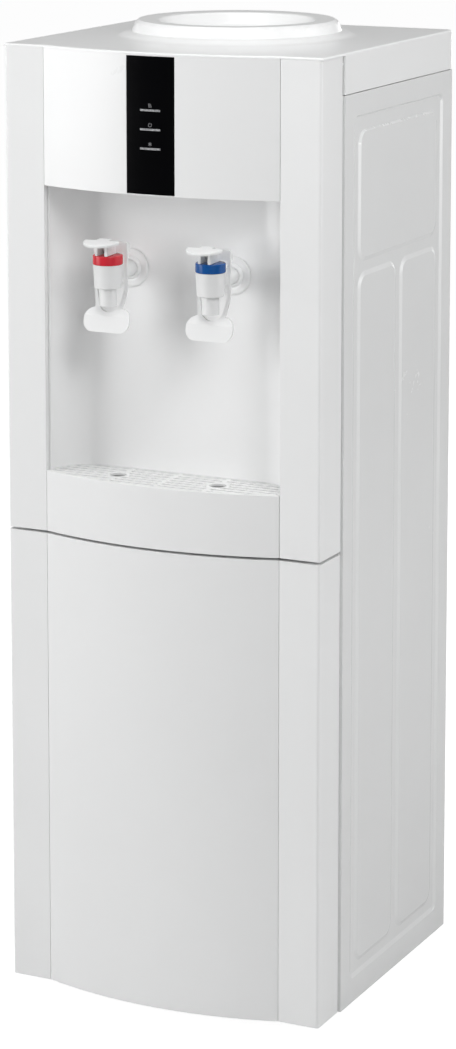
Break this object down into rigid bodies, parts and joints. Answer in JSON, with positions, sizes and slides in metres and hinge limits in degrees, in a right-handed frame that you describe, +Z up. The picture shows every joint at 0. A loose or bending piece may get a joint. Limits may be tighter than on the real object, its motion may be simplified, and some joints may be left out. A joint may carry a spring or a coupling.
{
  "type": "water cooler",
  "caption": "Floor-standing cooler for a bottle on top: curved front, hot and cold lever taps over a lift-out drip tray, and a storage cupboard behind a hinged door.",
  "frame": {"origin": "on the floor, below the middle of the whole cooler's bounding box", "axes": "+X to the right seen from the front, -Y towards the person using the taps, +Z up"},
  "size_m": [0.346, 0.3702, 0.987],
  "materials": {
    "white_moulding": "glossy moulded plastic",
    "white_satin": "satin moulded plastic",
    "painted_sheet": "satin powder coat",
    "black_gloss": "piano black",
    "pale_lens": "diffusing lens",
    "hot_red": "glossy",
    "cold_blue": "glossy",
    "black_plastic": "matt moulded",
    "galvanised": "zinc coated",
    "stainless": "brushed",
    "bright_steel": "turned and polished",
    "aluminium": "extruded, plain",
    "rubber_dark": "matt",
    "silicone": "translucent white silicone",
    "foam": "expanded foam",
    "circuit": "solder mask",
    "ceramic": "fired"
  },
  "bodies": {
    "cabinet": {"base_plate": "black_plastic", "feet": "rubber_dark", "side_panel_right": "painted_sheet", "side_panel_left": "painted_sheet", "back_panel": "painted_sheet", "mid_deck": "galvanised", "storage_liner": "white_satin", "magnet_catch": "white_satin", "top_cover": "white_moulding", "bottle_collar": "white_moulding", "feed_spike": "white_satin", "pillar_left": "white_moulding", "pillar_right": "white_moulding", "control_panel": "white_moulding", "display_strip": "black_gloss", "indicator_lenses": "pale_lens", "indicator_board": "circuit", "niche_liner": "white_moulding", "apron": "white_moulding", "tap_flanges": "white_moulding", "tap_nuts": "white_satin", "hot_tap_body": "white_moulding", "cold_tap_body": "white_moulding", "hot_tap_collar": "hot_red", "cold_tap_collar": "cold_blue", "hot_tap_spring": "bright_steel", "cold_tap_spring": "bright_steel", "hinge_plate": "galvanised", "hinge_pin_upper": "bright_steel", "cold_tank": "stainless", "cold_tank_jacket": "foam", "cooling_module": "ceramic", "heat_sink": "aluminium", "fan_frame": "black_plastic", "hot_tank": "stainless", "heater_band": "galvanised", "thermostats": "ceramic", "cold_hose": "silicone", "hot_hose": "silicone", "feed_hose": "silicone", "drain_pipe": "white_satin", "power_board": "circuit", "switch_bezels": "black_plastic", "cord_gland": "black_plastic"},
    "door": {"door_frame": "white_moulding", "door_panel": "white_moulding", "door_liner": "white_satin", "strike_plate": "bright_steel"},
    "tray": {"drip_tray": "white_satin"},
    "grille": {"drip_grille": "white_moulding"},
    "hot_stem": {"hot_tap_stem": "white_satin", "hot_tap_seal": "silicone"},
    "cold_stem": {"cold_tap_stem": "white_satin", "cold_tap_seal": "silicone"},
    "hot_lever": {"hot_tap_lever": "white_moulding"},
    "cold_lever": {"cold_tap_lever": "white_moulding"},
    "hot_rocker": {"hot_switch": "hot_red"},
    "cold_rocker": {"cold_switch": "cold_blue"},
    "fan": {"fan_rotor": "black_plastic"},
    "cap": {"drain_cap": "white_satin"}
  },
  "joints": [
    {"name": "door_swing", "type": "hinge", "parent": "cabinet", "child": "door", "pos_m": [-0.165, -0.109, 0.245], "axis": [0, 0, -1], "range_deg": [0, 100]},
    {"name": "tray_lift", "type": "slide", "parent": "cabinet", "child": "tray", "axis": [0, 0, 1], "range_m": [0, 0.032]},
    {"name": "grille_lift", "type": "slide", "parent": "tray", "child": "grille", "axis": [0, 0, 1], "range_m": [0, 0.03]},
    {"name": "hot_stem_lift", "type": "slide", "parent": "cabinet", "child": "hot_stem", "axis": [0, 0, 1], "range_m": [0, 0.00379], "stiffness_N_per_m": 300, "springref_m": -0.003, "deforming": ["hot_tap_spring"]},
    {"name": "hot_lever_tilt", "type": "hinge", "parent": "hot_stem", "child": "hot_lever", "pos_m": [-0.056, -0.155, 0.774], "axis": [1, 0, 0], "range_deg": [0, 15]},
    {"name": "cold_stem_lift", "type": "slide", "parent": "cabinet", "child": "cold_stem", "axis": [0, 0, 1], "range_m": [0, 0.00379], "stiffness_N_per_m": 300, "springref_m": -0.003, "deforming": ["cold_tap_spring"]},
    {"name": "cold_lever_tilt", "type": "hinge", "parent": "cold_stem", "child": "cold_lever", "pos_m": [0.056, -0.155, 0.774], "axis": [1, 0, 0], "range_deg": [0, 15]},
    {"name": "hot_switch_rock", "type": "hinge", "parent": "cabinet", "child": "hot_rocker", "pos_m": [0.105, 0.1675, 0.878], "axis": [-1, 0, 0], "range_deg": [0, 16]},
    {"name": "cold_switch_rock", "type": "hinge", "parent": "cabinet", "child": "cold_rocker", "pos_m": [0.137, 0.1675, 0.878], "axis": [-1, 0, 0], "range_deg": [0, 16]},
    {"name": "fan_spin", "type": "hinge", "parent": "cabinet", "child": "fan", "pos_m": [0, 0.159, 0.79], "axis": [0, 1, 0], "continuous": true},
    {"name": "drain_cap_turn", "type": "hinge", "parent": "cabinet", "child": "cap", "pos_m": [-0.085, 0.178, 0.487], "axis": [0, 1, 0], "range_deg": [0, 720]}
  ],
  "couplings": [
    {"joint": "hot_lever_tilt", "follows": "hot_stem_lift", "rad_per_m": 68.966},
    {"joint": "cold_lever_tilt", "follows": "cold_stem_lift", "rad_per_m": 68.966}
  ]
}
